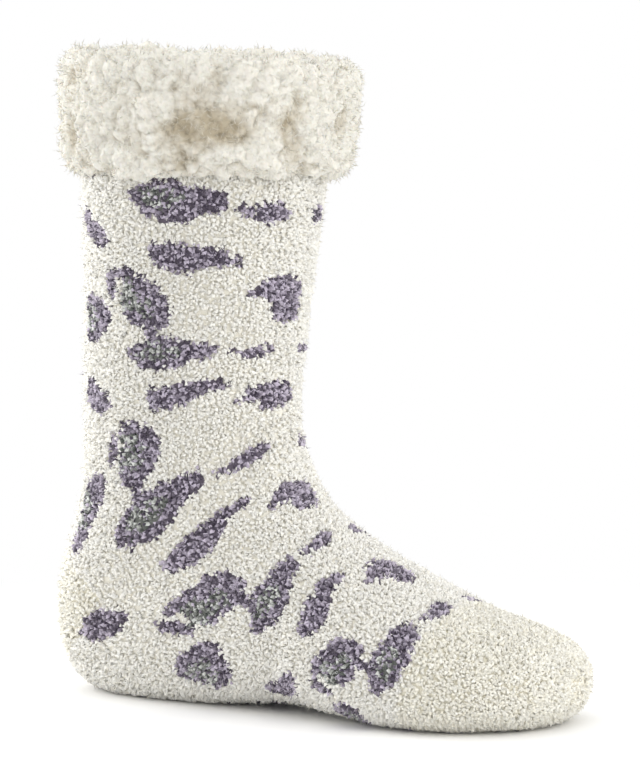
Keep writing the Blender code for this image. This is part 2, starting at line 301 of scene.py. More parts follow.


# The animal spots, charted in one repeat, which goes twice round the sock. Each is made of a few
# round patches, some of them its grey heart. turn is degrees round from the front, towards the
# foot's left, drop is from the top of the repeat, and a patch's sizes are in millimetres.
IVORY, CREAM, PURPLE, GREY = 0.0, 1.0, 2.0, 3.0
MILLIMETRE = 0.001
Spot = namedtuple("Spot", "turn drop patches")
Patch = namedtuple("Patch", "across down width height tilt yarn")
SPOTS = (
    Spot(-72, 0.0000, (
        Patch(-4, 0, 34, 18, 2, PURPLE),
        Patch(11, -1, 22, 12, 6, PURPLE),
        Patch(-19, -1, 10, 8, 0, PURPLE),
        Patch(-11, -12, 6, 9, -10, PURPLE),
        Patch(-7, -1, 22, 9, 4, GREY),
    )),
    Spot(-27, 0.0035, (
        Patch(2, 0, 18, 9, -6, PURPLE),
        Patch(-9, -1, 10, 5, 6, PURPLE),
    )),
    Spot(-63, 0.0245, (
        Patch(-6, 0, 27, 13.5, 3, PURPLE),
        Patch(6, -1, 20, 9, 0, PURPLE),
        Patch(16, 0.5, 13, 5, 6, PURPLE),
        Patch(-17, -3, 8, 6, 0, PURPLE),
    )),
    Spot(-93, 0.0450, (
        Patch(3, 1, 26, 21, 15, PURPLE),
        Patch(-15, -6, 7, 14, -8, PURPLE),
        Patch(-3, -9, 18, 8, 20, PURPLE),
        Patch(11, 5, 12, 16, -10, PURPLE),
        Patch(-6, -2, 13, 14, -10, GREY),
        Patch(3, 3, 10, 9, 0, GREY),
    )),
    Spot(-12, 0.0410, (
        Patch(-1, -4, 27, 13, 4, PURPLE),
        Patch(3, 4, 19, 14, -6, PURPLE),
        Patch(-14, -3, 11, 4, -6, PURPLE),
    )),
    Spot(-125, 0.0175, (
        Patch(0, 0, 22, 10, 20, PURPLE),
        Patch(-7, -5, 12, 10, 30, PURPLE),
    )),
    Spot(-127, 0.0550, (
        Patch(2, -2, 22, 16, 12, PURPLE),
        Patch(-2, 5, 18, 11, -8, PURPLE),
        Patch(-4, 0, 13, 11, 0, GREY),
    )),
    Spot(12, 0.0050, (
        Patch(0, 0, 14, 8, -8, PURPLE),
        Patch(7, 2, 8, 5, 10, PURPLE),
    )),
)
REPEAT_HEIGHT = 0.0715
REPEAT_TURN = 180
FIRST_ROW = 0.0555  # the top edge to the first row of spots
SPOT_GRAIN = 0.0042  # size of the noise that frays the spots' edges
SPOT_RAGGED = 0.30
HEART_RAGGED = 1.0
NO_SPOT = -9.0  # an amount that is far outside any patch

# Where the plain yarn is. The heel pocket is a wedge behind a point on the ankle's side.
POCKET_X = LEG_X - 0.026
POCKET_Z = 0.046
POCKET_TOP = (-0.80, 0.60)
POCKET_SOLE = (-0.66, -0.75)
TOE_CAP = 0.052  # plain toes, back from their tip
TOE_CAP_TILT = 0.18
EDGE_RAGGED = 0.0016


def patch_amount(patch, across, down):
    """Above 0 inside a patch, 1 at its middle, from distances to the spot's middle in metres."""
    slope = math.radians(patch.tilt)
    across = across / MILLIMETRE - patch.across
    down = down / MILLIMETRE - patch.down
    x = across * math.cos(slope) + down * math.sin(slope)
    y = down * math.cos(slope) - across * math.sin(slope)
    return 1 - (x / (patch.width / 2)) ** 2 - (y / (patch.height / 2)) ** 2


def wrapped(value, span):
    """A value brought to within half a span of 0."""
    return (value + span / 2) % span - span / 2


def yarn_at(shares, points):
    """Which yarn shows, as IVORY, CREAM, PURPLE or GREY, at each point of the skin."""
    knitted = knitted_at(points)
    grain = lumps(points, SPOT_GRAIN)
    purple = np.full(points.shape[:-1], NO_SPOT)
    grey = np.full(points.shape[:-1], NO_SPOT)
    for spot in SPOTS:
        across = wrapped(shares * 360 - spot.turn, REPEAT_TURN) / 360 * WALES * WALE
        down = wrapped(knitted - FIRST_ROW - spot.drop, REPEAT_HEIGHT)
        for patch in spot.patches:
            amount = patch_amount(patch, across, down)
            if patch.yarn == GREY:
                grey = np.maximum(grey, amount)
            else:
                purple = np.maximum(purple, amount)
    yarn = np.where(purple + grain * SPOT_RAGGED > 0, PURPLE, CREAM)
    yarn = np.where((yarn == PURPLE) & (grey + grain * HEART_RAGGED > 0), GREY, yarn)
    ragged = grain * EDGE_RAGGED
    x, z = points[..., 0] - POCKET_X, points[..., 2] - POCKET_Z
    under_top = x * POCKET_TOP[1] - z * POCKET_TOP[0] < ragged
    over_sole = x * POCKET_SOLE[1] - z * POCKET_SOLE[0] > ragged
    toe_line = KNIT_HIGH.x - TOE_CAP + (points[..., 2] - TOE_HEIGHT) * TOE_CAP_TILT
    plain = (under_top & over_sole) | (points[..., 0] > toe_line + ragged)
    return np.where(plain, IVORY, yarn)


def loft_faces(rows, columns):
    """Quads between the rows of a grid whose columns close on themselves."""
    row, column = np.meshgrid(np.arange(rows - 1), np.arange(columns), indexing="ij")
    here = row * columns + column
    beside = row * columns + (column + 1) % columns
    return np.stack((here, beside, beside + columns, here + columns), axis=-1).reshape(-1, 4)


def closed_at_toes(grid):
    """Points and faces of a grid from the toes up, closed at the toes by one more point."""
    rows, columns = grid.shape[:2]
    points = np.concatenate((grid.reshape(-1, 3), grid[0].mean(axis=0)[None]))
    faces = loft_faces(rows, columns).tolist()
    faces += [(rows * columns, (k + 1) % columns, k) for k in range(columns)]
    return points, faces


def mesh_object(name, points, faces, **attributes):
    """A smooth mesh object with one value per point for each attribute."""
    data = bpy.data.meshes.new(name)
    data.from_pydata(points.reshape(-1, 3).tolist(), [], [list(map(int, face)) for face in faces])
    for label, values in attributes.items():
        layer = data.attributes.new(label, "FLOAT", "POINT")
        layer.data.foreach_set("value", np.asarray(values, dtype=np.float32).reshape(-1))
    data.shade_smooth()
    made = bpy.data.objects.new(name, data)
    bpy.context.scene.collection.objects.link(made)
    return made


SHINE = 0.2  # of the fibres, the rubber and the floor, which are all dull


def new_material(name, roughness):
    """A material and its shader, ready for nodes."""
    material = bpy.data.materials.new(name)
    material.use_nodes = True
    shader = material.node_tree.nodes["Principled BSDF"]
    shader.inputs["Roughness"].default_value = roughness
    shader.inputs["Specular IOR Level"].default_value = SHINE
    return material, shader


def let_light_in(shader, share, colours, depth):
    """Lets a share of the light go this deep into the fibres, red, green and blue in these parts."""
    shader.inputs["Subsurface Weight"].default_value = share
    shader.inputs["Subsurface Radius"].default_value = colours
    shader.inputs["Subsurface Scale"].default_value = depth


def add_node(tree, kind, inputs=(), **settings):
    """Adds a node to a tree, sets its settings, then sets or links its inputs by name or number."""
    node = tree.nodes.new(kind)
    for setting, value in settings.items():
        setattr(node, setting, value)
    for label, value in dict(inputs).items():
        if isinstance(value, bpy.types.NodeSocket):
            tree.links.new(value, node.inputs[label])
        else:
            node.inputs[label].default_value = value
    return node


def point_value(tree, label):
    """The value that each point of a mesh carries under this name."""
    return add_node(tree, "ShaderNodeAttribute", attribute_name=label).outputs["Fac"]


def mixed_colour(tree, share, a, b, **settings):
    """The colour from a, at share 0, to b, at share 1."""
    inputs = {"Factor": share, "A": a, "B": b}
    return add_node(tree, "ShaderNodeMix", inputs, data_type="RGBA", **settings).outputs["Result"]


WHITE = (1.0, 1.0, 1.0, 1.0)
PALE_YARNS = (
    (0.97, 0.94, 0.84, 1.0),
    (0.97, 0.95, 0.885, 1.0),
    (0.56, 0.50, 0.61, 1.0),
    (0.72, 0.735, 0.70, 1.0),
)
DEEP_YARNS = (
    (0.92, 0.88, 0.76, 1.0),
    (0.92, 0.89, 0.81, 1.0),
    (0.085, 0.07, 0.10, 1.0),
    (0.11, 0.12, 0.11, 1.0),
)
YARN_ROOT_SHADE = (0.93, 0.925, 0.90, 1.0)  # painted shade: what is left of the light down between the tufts, at the locks' roots
YARN_STOPS = (0.0, 0.25, 0.5, 0.80)
YARN_ROUGHNESS = 0.95
YARN_SHEEN = 0.15
YARN_LIGHT = (0.4, (1.0, 0.97, 0.9), 0.0012)  # share, colours and depth of the light let in


def yarn_ramp(tree, factor, colours):
    """A ramp with one even colour for each yarn."""
    node = add_node(tree, "ShaderNodeValToRGB", {"Fac": factor})
    ramp = node.color_ramp
    ramp.interpolation = "CONSTANT"
    while len(ramp.elements) < len(colours):
        ramp.elements.new(0.5)
    for element, stop, colour in zip(ramp.elements, YARN_STOPS, colours):
        element.position = stop
        element.color = colour
    return node.outputs["Color"]


def feather_yarn():
    """Fuzzy yarn in its four colours, each of paler and deeper fibres, with painted shade down at its
    roots.
    """
    material, shader = new_material("feather_yarn", YARN_ROUGHNESS)
    shader.inputs["Sheen Weight"].default_value = YARN_SHEEN
    let_light_in(shader, *YARN_LIGHT)
    tree = material.node_tree
    yarn, shade, tip = (point_value(tree, label) for label in ("yarn", "shade", "tip"))
    scaled = add_node(tree, "ShaderNodeMath", {0: yarn, 1: 1 / GREY}, operation="MULTIPLY")
    deep = yarn_ramp(tree, scaled.outputs[0], DEEP_YARNS)
    pale = yarn_ramp(tree, scaled.outputs[0], PALE_YARNS)
    blend = mixed_colour(tree, shade, deep, pale)
    # Painted shade, from the root shade at a lock's root to none at its tip
    root_shade = mixed_colour(tree, tip, YARN_ROOT_SHADE, WHITE)
    colour = mixed_colour(tree, 1.0, blend, root_shade, blend_type="MULTIPLY")
    tree.links.new(colour, shader.inputs["Base Color"])
    return material


FEATHER_YARN = feather_yarn()
BODY_STEP = 6  # the pile hides the skin, so every sixth row and column will do
BODY_COLUMNS = slice(0, ROUND_STEPS, BODY_STEP)
BODY_ROWS = slice(1, LONG_STEPS, BODY_STEP)
YARN_DEPTH = 0.0008  # the pile stands on the yarn's core, this far inside the skin
SKIN_SHADE = 0.2  # painted shade: the skin, seen only between the tufts, is nearer to the deep colour of each yarn than to the pale one
SKIN_TIP = 0.25  # painted shade: dimmed as deep down as a lock's lower quarter


def knit_body():
    """The skin of the knit, closed at the toes, its rim hidden under the fleece."""
    grid = SKIN[BODY_ROWS, BODY_COLUMNS] - SKIN_NORMALS[BODY_ROWS, BODY_COLUMNS] * YARN_DEPTH
    grid[..., 2] = np.maximum(grid[..., 2], FLOOR_LIFT)
    shares = np.broadcast_to(ROUND_SHARES[BODY_COLUMNS], grid.shape[:2])
    yarn = yarn_at(shares, SKIN[BODY_ROWS, BODY_COLUMNS])
    points, faces = closed_at_toes(grid)
    yarn = np.concatenate((yarn.reshape(-1), [IVORY]))
    # Painted shade: the skin shows only down between the tufts, so it is deep-coloured and dimmed
    shade = np.full(len(yarn), SKIN_SHADE)
    tips = np.full(len(yarn), SKIN_TIP)
    return mesh_object("knit_skin", points, faces, yarn=yarn, shade=shade, tip=tips)


skin_piece = knit_body()
skin_piece.data.materials.append(FEATHER_YARN)
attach(skin_piece, "root")
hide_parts("knit_body")

# Pile of the knit. The feather yarn's short fibres stand out of each stitch as a few soft tufts, in
# the colour of that stitch. They sit along the wales, so the columns show. Each tuft is a lock.

STITCH_TUFTS = 4
PILE_SPREAD = 0.26  # of a wale, from its middle line
PILE_EDGE = 0.62  # no tuft stands further out than this share of a wale
PILE_FAN = 0.9  # how much the outer tufts of a stitch lean out
PILE_STRAY = 0.10  # how much a tuft's facing may stray
STITCH_STRAY = 0.3  # how far a stitch may lie off its row, in rows of the skin's grid
PILE_START = 0.034  # the cuff hides the knit from the top edge down to here
TOE_TIP_TUFTS = 170
TOE_TIP_LEAN = 0.35
TOE_TIP_REACH = 1.6  # how far out they stand, in widths of the skin's first ring
SPOT_BLUR = 0.0006  # how far a lock's colour may stray
HEART_MIX = 0.28  # share of purple tufts in the grey hearts
PILE_SEED = 11
HEEL_PLACE = 0.56  # courses are counted from the top edge down to here, and from the toes up to it
THINNEST_WALE = 0.65  # narrower wales than this share of WALE lose tufts, towards the toes' tip
FLOOR_CLEAR = 0.0006
SHADE_SPREAD = 0.6  # from tuft to tuft, between the deep and the pale colour of a yarn
TUFT_SIZES = (0.8, 1.25)
PILE_SOFTNESS = 0.8  # share of the way that a tuft's normals turn to its facing
LAST_ROW = LONG_STEPS - 1.001  # just short of the grid's last row

# How a lock of fibres looks: metres, how many sides and bends it has, and angles above its backing
Lock = namedtuple("Lock", "length width sides bends rise fall twist")
PILE_TUFT = Lock(0.0024, 0.0019, 3, 2, 1.25, 0.35, 0.8)
LOCK_KINDS = 8
LOCK_LENGTHS = (0.75, 1.2)  # shares of a lock's length
LOCK_STRAY = 0.12
ROOT_WIDTH = 0.7  # share of a lock's width at its root


def lock(chance, look):
    """Points of one bent lock of fibres, in rings from its root, with a single one at its tip."""
    heading = chance.uniform(0, 2 * math.pi)
    twist = chance.uniform(-look.twist, look.twist)
    step = look.length * chance.uniform(*LOCK_LENGTHS) / look.bends
    at = np.zeros(3)
    points = []
    for k in range(look.bends):
        pitch = mix(look.rise, look.fall, k / look.bends) + chance.normal(0.0, LOCK_STRAY)
        flat = math.cos(pitch)
        ahead = np.array((math.cos(heading) * flat, math.sin(heading) * flat, math.sin(pitch)))
        beside = np.array((-math.sin(heading), math.cos(heading), 0.0))
        over = np.cross(ahead, beside)
        radius = look.width / 2 * (ROOT_WIDTH if k == 0 else 1.0)
        for side in range(look.sides):
            turn = 2 * math.pi * side / look.sides
            points.append(at + (beside * math.cos(turn) + over * math.sin(turn)) * radius)
        at = at + ahead * step
        heading += twist
    return points + [at]


def spire_faces(first, sides, rings):
    """Faces over rings of points that end in a single one. With two sides it is a flat ribbon."""
    tip = first + sides * rings
    walls = 1 if sides == 2 else sides
    for low in range(first, tip, sides):
        for side in range(walls):
            beside = (side + 1) % sides
            high = low + sides
            if high < tip:
                yield (low + side, low + beside, high + beside, high + side)
            else:
                yield (low + side, low + beside, tip)


def lock_kinds(name, look, chance):
    """A few locks that bend differently, each its own object, in a collection."""
    collection = bpy.data.collections.new(name)
    reach = [k // look.sides / look.bends for k in range(look.sides * look.bends + 1)]
    faces = list(spire_faces(0, look.sides, look.bends))
    for kind in range(LOCK_KINDS):
        data = bpy.data.meshes.new(name)
        data.from_pydata([tuple(p) for p in lock(chance, look)], [], faces)
        data.attributes.new("tip", "FLOAT", "POINT").data.foreach_set("value", reach)
        data.shade_smooth()
        collection.objects.link(bpy.data.objects.new(f"{name}_{kind}", data))
    return collection


def new_tree(name, **sockets):
    """A Geometry Nodes tree with these input sockets, and its way in and out."""
    tree = bpy.data.node_groups.new(name, "GeometryNodeTree")
    tree.interface.new_socket("Geometry", in_out="INPUT", socket_type="NodeSocketGeometry")
    for label, kind in sockets.items():
        tree.interface.new_socket(label, in_out="INPUT", socket_type=kind)
    tree.interface.new_socket("Geometry", in_out="OUTPUT", socket_type="NodeSocketGeometry")
    return tree, tree.nodes.new("NodeGroupInput").outputs, tree.nodes.new("NodeGroupOutput").inputs


def planting_tree():
    """Sets one of the collection's locks on each point, standing along the point's facing."""
    tree, given, out = new_tree(
        "planting",
        Locks="NodeSocketCollection",
        Material="NodeSocketMaterial",
        Seed="NodeSocketInt",
    )
    facing = add_node(
        tree, "GeometryNodeInputNamedAttribute", {"Name": "facing"}, data_type="FLOAT_VECTOR"
    )
    size = add_node(tree, "GeometryNodeInputNamedAttribute", {"Name": "size"}, data_type="FLOAT")
    kinds = add_node(
        tree, "GeometryNodeCollectionInfo", {"Collection": given["Locks"], "Separate Children": True}
    )
    upright = add_node(
        tree, "FunctionNodeAlignRotationToVector", {"Vector": facing.outputs["Attribute"]}, axis="Z"
    )
    spin = add_node(
        tree,
        "FunctionNodeRandomValue",
        {"Max": (0.0, 0.0, 2 * math.pi), "Seed": given["Seed"]},
        data_type="FLOAT_VECTOR",
    )
    spun = add_node(
        tree,
        "FunctionNodeRotateRotation",
        {"Rotation": upright.outputs["Rotation"], "Rotate By": spin.outputs["Value"]},
        rotation_space="LOCAL",
    )
    placed = add_node(
        tree,
        "GeometryNodeInstanceOnPoints",
        {
            "Points": given["Geometry"],
            "Instance": kinds.outputs[0],
            "Pick Instance": True,
            "Rotation": spun.outputs["Rotation"],
            "Scale": size.outputs["Attribute"],
        },
    )
    whole = add_node(tree, "GeometryNodeRealizeInstances", {"Geometry": placed.outputs["Instances"]})
    dressed = add_node(
        tree,
        "GeometryNodeSetMaterial",
        {"Geometry": whole.outputs["Geometry"], "Material": given["Material"]},
    )
    tree.links.new(dressed.outputs["Geometry"], out["Geometry"])
    return tree


def grown(obj, tree, **values):
    """Runs a tree on an object and leaves a plain mesh in its place."""
    modifier = obj.modifiers.new("tree", "NODES")
    modifier.node_group = tree
    for item in tree.interface.items_tree:
        if item.in_out == "INPUT" and item.name in values:
            modifier[item.identifier] = values[item.name]
    graph = bpy.context.evaluated_depsgraph_get()
    whole = bpy.data.meshes.new_from_object(obj.evaluated_get(graph))
    obj.modifiers.remove(modifier)
    obj.data = whole
    return obj


def stitch_rows(column):
    """Rows of the skin's grid, as fractions, where a wale's stitches lie."""
    middle = int(HEEL_PLACE * LONG_STEPS)
    rows = np.arange(LONG_STEPS)
    down = FROM_COLLAR[:, column]
    up = FROM_TOE[:, column]
    above = np.arange(PILE_START, down[middle], COURSE)
    below = np.arange(COURSE / 2, up[middle], COURSE)
    return np.concatenate((np.interp(-above, -down, rows), np.interp(below, up, rows)))


def at_rows(grid, rows, column):
    """Values of a column of a grid between its rows."""
    near = np.minimum(rows.astype(int), LONG_STEPS - 2)
    part = (rows - near).reshape(-1, *[1] * (grid.ndim - 2))
    return grid[near, column] * (1 - part) + grid[near + 1, column] * part


def stitch_tufts(chance, count):
    """Place, facing and way round of this many tufts to every stitch."""
    found = []
    step = ROUND_STEPS // WALES
    for wale in range(WALES):
        column = wale * step
        rows = stitch_rows(column)
        rows = np.clip(rows + chance.uniform(-STITCH_STRAY, STITCH_STRAY, len(rows)), 0, LAST_ROW)
        place = at_rows(SKIN, rows, column)
        across = at_rows(SKIN, rows, (column + step) % ROUND_STEPS) - place
        width = np.linalg.norm(across, axis=-1)
        sideways = across / np.maximum(width, 1e-9)[:, None]
        along = at_rows(SKIN, np.minimum(rows + 1, LAST_ROW), column) - place
        pace = np.linalg.norm(along, axis=-1, keepdims=True)
        facing = at_rows(SKIN_NORMALS, rows, column)
        along = along / np.maximum(pace, 1e-9) * COURSE
        place, across, sideways, along, facing, width = (
            np.repeat(table[pace[:, 0] > 0], count, axis=0)
            for table in (place, across, sideways, along, facing, width)
        )
        kept = chance.uniform(0, 1, len(place)) < width / (WALE * THINNEST_WALE)
        side = np.clip(chance.normal(0.0, PILE_SPREAD, (len(place), 1)), -PILE_EDGE, PILE_EDGE)
        ahead = chance.uniform(-0.5, 0.5, (len(place), 1))
        lean = (sideways * side + along / WALE * ahead) * PILE_FAN
        share = ROUND_SHARES[column] + side * step / ROUND_STEPS
        place = place + across * side + along * ahead
        found.append(np.column_stack((place, facing + lean, share))[kept])
    return np.concatenate(found + [toe_tip_tufts(chance)])


def toe_tip_tufts(chance):
    """The same for the flat tip of the toes, in and around the skin's first ring."""
    picked = chance.integers(0, ROUND_STEPS, TOE_TIP_TUFTS)
    middle = SKIN[0].mean(axis=0)
    reach = np.sqrt(chance.uniform(0, 1, (TOE_TIP_TUFTS, 1))) * TOE_TIP_REACH
    facing = SKIN_NORMALS[0][picked] * reach + np.array((1.0, 0.0, 0.0))
    facing = facing + chance.normal(0.0, TOE_TIP_LEAN, facing.shape)
    return np.column_stack((middle + (SKIN[0][picked] - middle) * reach, facing, ROUND_SHARES[picked]))


def values_of(items, label, wide=3):
    """One row of values for each point of a mesh, read from its vertices, normals or an attribute."""
    values = np.empty(len(items) * wide, np.float32)
    items.foreach_get(label, values)
    return values.reshape(-1, wide)


def softened(data, softness):
    """Turns the locks' normals towards their facing, so that they shade as one soft pile."""
    facing = values_of(data.attributes["facing"].data, "vector")
    blend = values_of(data.vertex_normals, "vector") + facing * softness
    blend /= np.maximum(np.linalg.norm(blend, axis=1, keepdims=True), 1e-9)
    data.normals_split_custom_set_from_vertices(blend.tolist())


def planted(name, points, facing, kinds, material, softness, **values):
    """A piece made of a lock on each of these points, in this material."""
    piece = mesh_object(name, points, [], **values)
    layer = piece.data.attributes.new("facing", "FLOAT_VECTOR", "POINT")
    layer.data.foreach_set("vector", facing.astype(np.float32).reshape(-1))
    grown(piece, PLANTING, Locks=kinds, Material=material, Seed=PILE_SEED)
    places = values_of(piece.data.vertices, "co")
    places[:, 2] = np.maximum(places[:, 2], FLOOR_CLEAR)
    piece.data.vertices.foreach_set("co", places.reshape(-1))
    softened(piece.data, softness)
    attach(piece, "root")
    return piece


def pile_piece(name, rows, yarn, kinds, chance):
    """One stretch of the knit's pile."""
    points = rows[:, 0:3] - rows[:, 3:6] * YARN_DEPTH
    facing = rows[:, 3:6] + chance.normal(0.0, PILE_STRAY, (len(rows), 3))
    shade = np.clip(chance.normal(0.5, SHADE_SPREAD, len(rows)), 0.0, 1.0)
    size = chance.uniform(*TUFT_SIZES, len(rows))
    looks = {"yarn": yarn, "shade": shade, "size": size}
    piece = planted(name, points, facing, kinds, FEATHER_YARN, PILE_SOFTNESS, **looks)


def cleared(kinds):
    """Removes the locks that a pile was grown from."""
    for kind in list(kinds.objects):
        bpy.data.objects.remove(kind)
    bpy.data.collections.remove(kinds)


PLANTING = planting_tree()
pile_chance = np.random.default_rng(PILE_SEED)
pile_kinds = lock_kinds("pile", PILE_TUFT, pile_chance)
pile_table = stitch_tufts(pile_chance, STITCH_TUFTS)
strays = pile_chance.normal(0.0, SPOT_BLUR, (len(pile_table), 3))
pile_yarn = yarn_at(pile_table[:, 6], pile_table[:, 0:3] + strays)
mixed = pile_chance.uniform(0, 1, len(pile_table)) < HEART_MIX
pile_yarn = np.where((pile_yarn == GREY) & mixed, PURPLE, pile_yarn)
by_height = np.argsort(knitted_at(pile_table[:, 0:3]), kind="stable")[::-1]
for stretch, chosen in zip(("foot", "heel", "ankle", "leg"), np.array_split(by_height, 4)):
    pile_piece(
        f"knit_pile_{stretch}", pile_table[chosen], pile_yarn[chosen], pile_kinds, pile_chance
    )
cleared(pile_kinds)

# Loose fibres of the feather yarn, which stand out past the tufts and make the knit's outline soft.
# They are held by the same stitches, one fibre to each, and have the stitch's colour.

FIBRE = Lock(0.0034, 0.0003, 2, 2, 1.30, 0.2, 1.0)
STITCH_FIBRES = 1
fibre_chance = np.random.default_rng(PILE_SEED + 1)
fibre_kinds = lock_kinds("fibres", FIBRE, fibre_chance)
fibre_table = stitch_tufts(fibre_chance, STITCH_FIBRES)
fibre_yarn = yarn_at(fibre_table[:, 6], fibre_table[:, 0:3])
pile_piece("knit_fibres", fibre_table, fibre_yarn, fibre_kinds, fibre_chance)
cleared(fibre_kinds)

# Grip dots, printed on the sole in dark rubber that has set into the pile. They lie in rows that are
# offset by half, where the sole faces down.

DOT_PITCH = 0.009
DOT_ROW_PITCH = 0.0078
DOT_WIDTH = 0.0034
DOT_HEIGHT = 0.0016
DOT_SIDES = 10
DOT_RINGS = ((1.0, 0.0), (0.86, 0.55), (0.5, 0.9))  # shares of its half width and of its height
DOT_FACING = 0.96  # dots end where the sole faces down less than this
DOTS_ACROSS = 6  # to each side of the sole's middle
DOTS_END = 0.3  # from the toes' tip, past the heel
DOT_CLEAR = 0.0001
GRIP_ROUGHNESS = 0.5


def dot_points(place, facing):
    """Rings of one dot from its foot to its crown, which stays over the floor."""
    middle = place.copy()
    middle[2] = max(middle[2], DOT_CLEAR - facing[2] * DOT_HEIGHT)
    beside = np.cross(facing, (1.0, 0.0, 0.0))
    beside /= np.linalg.norm(beside)
    ahead = np.cross(facing, beside)
    points = []
    for wide, high in DOT_RINGS:
        for turn in np.arange(DOT_SIDES) * 2 * math.pi / DOT_SIDES:
            out = (beside * math.cos(turn) + ahead * math.sin(turn)) * wide * DOT_WIDTH / 2
            points.append(middle + out + facing * high * DOT_HEIGHT)
    return points + [middle + facing * DOT_HEIGHT]


def grip_dots():
    """Every dot of the sole in one mesh."""
    under = ROUND_STEPS // 2
    points, faces = [], []
    along = np.arange(DOT_ROW_PITCH, DOTS_END, DOT_ROW_PITCH)
    rows = np.interp(along, FROM_TOE[:, under], np.arange(LONG_STEPS))
    for number, row in enumerate(rows.astype(int)):
        ring = np.roll(SKIN[row], -under, axis=0)
        turned = np.roll(SKIN_NORMALS[row], -under, axis=0)
        steps = np.linalg.norm(np.roll(ring, -1, axis=0) - ring, axis=-1)
        for place in range(-DOTS_ACROSS, DOTS_ACROSS + 1):
            reach = (place + 0.5 * (number % 2)) * DOT_PITCH
            walked = np.cumsum(steps if reach > 0 else steps[::-1])
            column = int(np.searchsorted(walked, abs(reach))) * (1 if reach > 0 else -1)
            if turned[column][2] > -DOT_FACING:
                continue
            first = len(points)
            faces.append(range(first + DOT_SIDES - 1, first - 1, -1))
            faces += spire_faces(first, DOT_SIDES, len(DOT_RINGS))
            points += dot_points(ring[column], turned[column])
    return mesh_object("grip_dots", np.array(points), faces)


GRIP_COLOUR = (0.055, 0.05, 0.06, 1.0)
grip_rubber, grip_shader = new_material("grip_rubber", GRIP_ROUGHNESS)
grip_shader.inputs["Base Color"].default_value = GRIP_COLOUR
dots = grip_dots()
dots.data.materials.append(grip_rubber)
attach(dots, "root")

# Fleece lining and its cuff. Curly sherpa fleece lines the sock with its pile inwards. At the top it
# comes out over the knit's edge and is turned down outside as a cuff, held by its own spring.

KNIT_WALL = 0.003
CLEARANCE = 0.0003
CUFF_DROP = 0.046
CUFF_PILE = 0.0085
CUFF_ROLL = 0.0070
LINING_PILE = 0.0045
LINING_DROP = 0.030
CUFF_ROUND = 590  # points round the fold
CUFF_ALONG = 168  # and along its outline
INSIDE_ROWS = 0.5  # the fold's inside gets half as many rows to its length as its outside
LEG_PLACES = 0.6  # sections past this share of the way from the toes go up the leg

# The fold's outline from its lower edge, up outside, over the top and down inside the leg. depth is
# below the knit's top edge, outset from the face of the knit it lies on, and clumps how far fleece
# may stand out there.
FoldPoint = namedtuple("FoldPoint", "layer depth outset clumps")
FOLD = (
    FoldPoint("outside", CUFF_DROP * 0.85, 0.0, 0.0),
    FoldPoint("outside", CUFF_DROP * 0.98, CUFF_PILE * 0.05, 0.3),
    FoldPoint("outside", CUFF_DROP * 1.00, CUFF_PILE * 0.35, 0.7),
    FoldPoint("outside", CUFF_DROP * 0.96, CUFF_PILE * 0.75, 0.9),
    FoldPoint("outside", CUFF_DROP * 0.85, CUFF_PILE * 1.00, 1.0),
    FoldPoint("outside", CUFF_DROP * 0.60, CUFF_PILE * 1.12, 1.0),
    FoldPoint("outside", CUFF_DROP * 0.35, CUFF_PILE * 1.14, 1.0),
    FoldPoint("outside", CUFF_DROP * 0.10, CUFF_PILE * 1.08, 1.0),
    FoldPoint("outside", -CUFF_ROLL * 0.25, CUFF_PILE * 0.94, 1.0),
    FoldPoint("outside", -CUFF_ROLL * 0.75, CUFF_PILE * 0.60, 1.0),
    FoldPoint("outside", -CUFF_ROLL * 0.95, CUFF_PILE * 0.12, 1.0),
    FoldPoint("inside", -CUFF_ROLL * 0.90, LINING_PILE * 0.15, 0.9),
    FoldPoint("inside", -CUFF_ROLL * 0.50, LINING_PILE * 0.75, 0.6),
    FoldPoint("inside", LINING_DROP * 0.12, LINING_PILE * 0.9, 0.4),
    FoldPoint("inside", LINING_DROP * 0.45, LINING_PILE * 0.9, 0.4),
    FoldPoint("inside", LINING_DROP * 0.80, LINING_PILE * 0.9, 0.4),
    FoldPoint("inside", LINING_DROP, LINING_PILE * 0.75, 0.3),
    FoldPoint("inside", LINING_DROP, 0.0, 0.0),
)


def fold_grid():
    """The cuff's surface without its clumps, how much of a clump each row may carry, and its height."""
    outset = []
    for point in FOLD:
        inside = point.layer == "inside"
        outset.append(-KNIT_WALL - CLEARANCE - point.outset if inside else CLEARANCE + point.outset)
    corners = np.array([(out, -point.depth, point.clumps) for out, point in zip(outset, FOLD)])
    steps = np.linalg.norm(np.diff(corners[:, :2], axis=0), axis=1)
    steps *= [INSIDE_ROWS if point.layer == "inside" else 1.0 for point in FOLD[1:]]
    along = np.concatenate(([0.0], np.cumsum(steps)))
    even = np.linspace(0.0, along[-1], CUFF_ALONG)
    out, height, clumps = (np.interp(even, along, corners[:, k]) for k in range(3))
    high = PLACES[PLACES > LEG_PLACES]
    levels = sections_at(high)[:, [1, 3]].mean(axis=1)
    places = np.interp(levels[-1] + np.minimum(height, 0.0), levels, high)
    turns = np.linspace(0.0, 2 * math.pi, CUFF_ROUND, endpoint=False)
    angles = np.broadcast_to(turns, (CUFF_ALONG, CUFF_ROUND))
    grid = ring_points(sections_at(places), angles, out[:, None])
    axis = np.array((math.sin(LEG_LEAN), 0.0, math.cos(LEG_LEAN)))
    return grid + axis * np.maximum(height, 0.0)[:, None, None], clumps, np.where(out > 0, height, 1.0)
